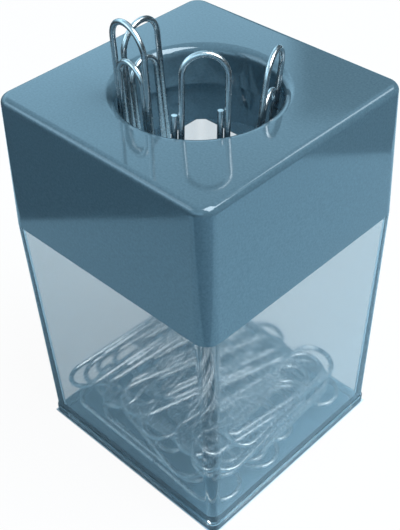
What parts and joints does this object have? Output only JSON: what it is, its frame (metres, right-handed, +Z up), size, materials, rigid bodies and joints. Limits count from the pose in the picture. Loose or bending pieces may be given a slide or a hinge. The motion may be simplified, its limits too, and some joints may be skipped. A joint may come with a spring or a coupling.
{
  "type": "magnetic paper clip holder",
  "caption": "Square tapered desk dispenser: clear container of paper clips under an opaque lift-off cap whose round magnetic mouth holds clips standing ready to pull out.",
  "frame": {"origin": "centre of the square base, on the surface it stands on", "axes": "+Z up through the mouth, +X and +Y across two neighbouring flat sides"},
  "size_m": [0.044, 0.044, 0.0834],
  "materials": {
    "clear_plastic": "clear polished moulding with a light blue tint",
    "cap_plastic": "opaque blue-grey, glossy top, slightly softer sides",
    "magnet": "dull ground ceramic",
    "retainer_plastic": "plain moulded",
    "clip_wire": "bright drawn wire"
  },
  "bodies": {
    "container": {"container": "clear_plastic", "loose_clip_01": "clip_wire", "loose_clip_02": "clip_wire", "loose_clip_03": "clip_wire", "loose_clip_04": "clip_wire", "loose_clip_05": "clip_wire", "loose_clip_06": "clip_wire", "loose_clip_07": "clip_wire", "loose_clip_08": "clip_wire", "loose_clip_09": "clip_wire", "loose_clip_10": "clip_wire", "loose_clip_11": "clip_wire", "loose_clip_12": "clip_wire", "loose_clip_13": "clip_wire", "loose_clip_14": "clip_wire", "loose_clip_15": "clip_wire", "loose_clip_16": "clip_wire", "loose_clip_17": "clip_wire", "loose_clip_18": "clip_wire", "loose_clip_19": "clip_wire", "loose_clip_20": "clip_wire", "loose_clip_21": "clip_wire", "loose_clip_22": "clip_wire", "loose_clip_23": "clip_wire"},
    "cap": {"cap": "cap_plastic", "ring_magnet": "magnet", "magnet_retainer": "retainer_plastic"},
    "clip_front": {"standing_clip_front": "clip_wire"},
    "clip_right": {"standing_clip_right": "clip_wire"},
    "clip_left": {"standing_clip_left": "clip_wire"},
    "clip_back": {"standing_clip_back": "clip_wire"}
  },
  "joints": [
    {"name": "cap_lift", "type": "slide", "parent": "container", "child": "cap", "axis": [0, 0, 1], "range_m": [0, 0.05]},
    {"name": "clip_front_pull", "type": "slide", "parent": "cap", "child": "clip_front", "axis": [-0.0438, 0.0757, 0.9962], "range_m": [0, 0.04]},
    {"name": "clip_right_pull", "type": "slide", "parent": "cap", "child": "clip_right", "axis": [-0.032, 0.2369, 0.971], "range_m": [0, 0.04]},
    {"name": "clip_left_pull", "type": "slide", "parent": "cap", "child": "clip_left", "axis": [0.0438, -0.0737, 0.9963], "range_m": [0, 0.04]},
    {"name": "clip_back_pull", "type": "slide", "parent": "cap", "child": "clip_back", "axis": [0.0438, -0.0737, 0.9963], "range_m": [0, 0.04]}
  ]
}
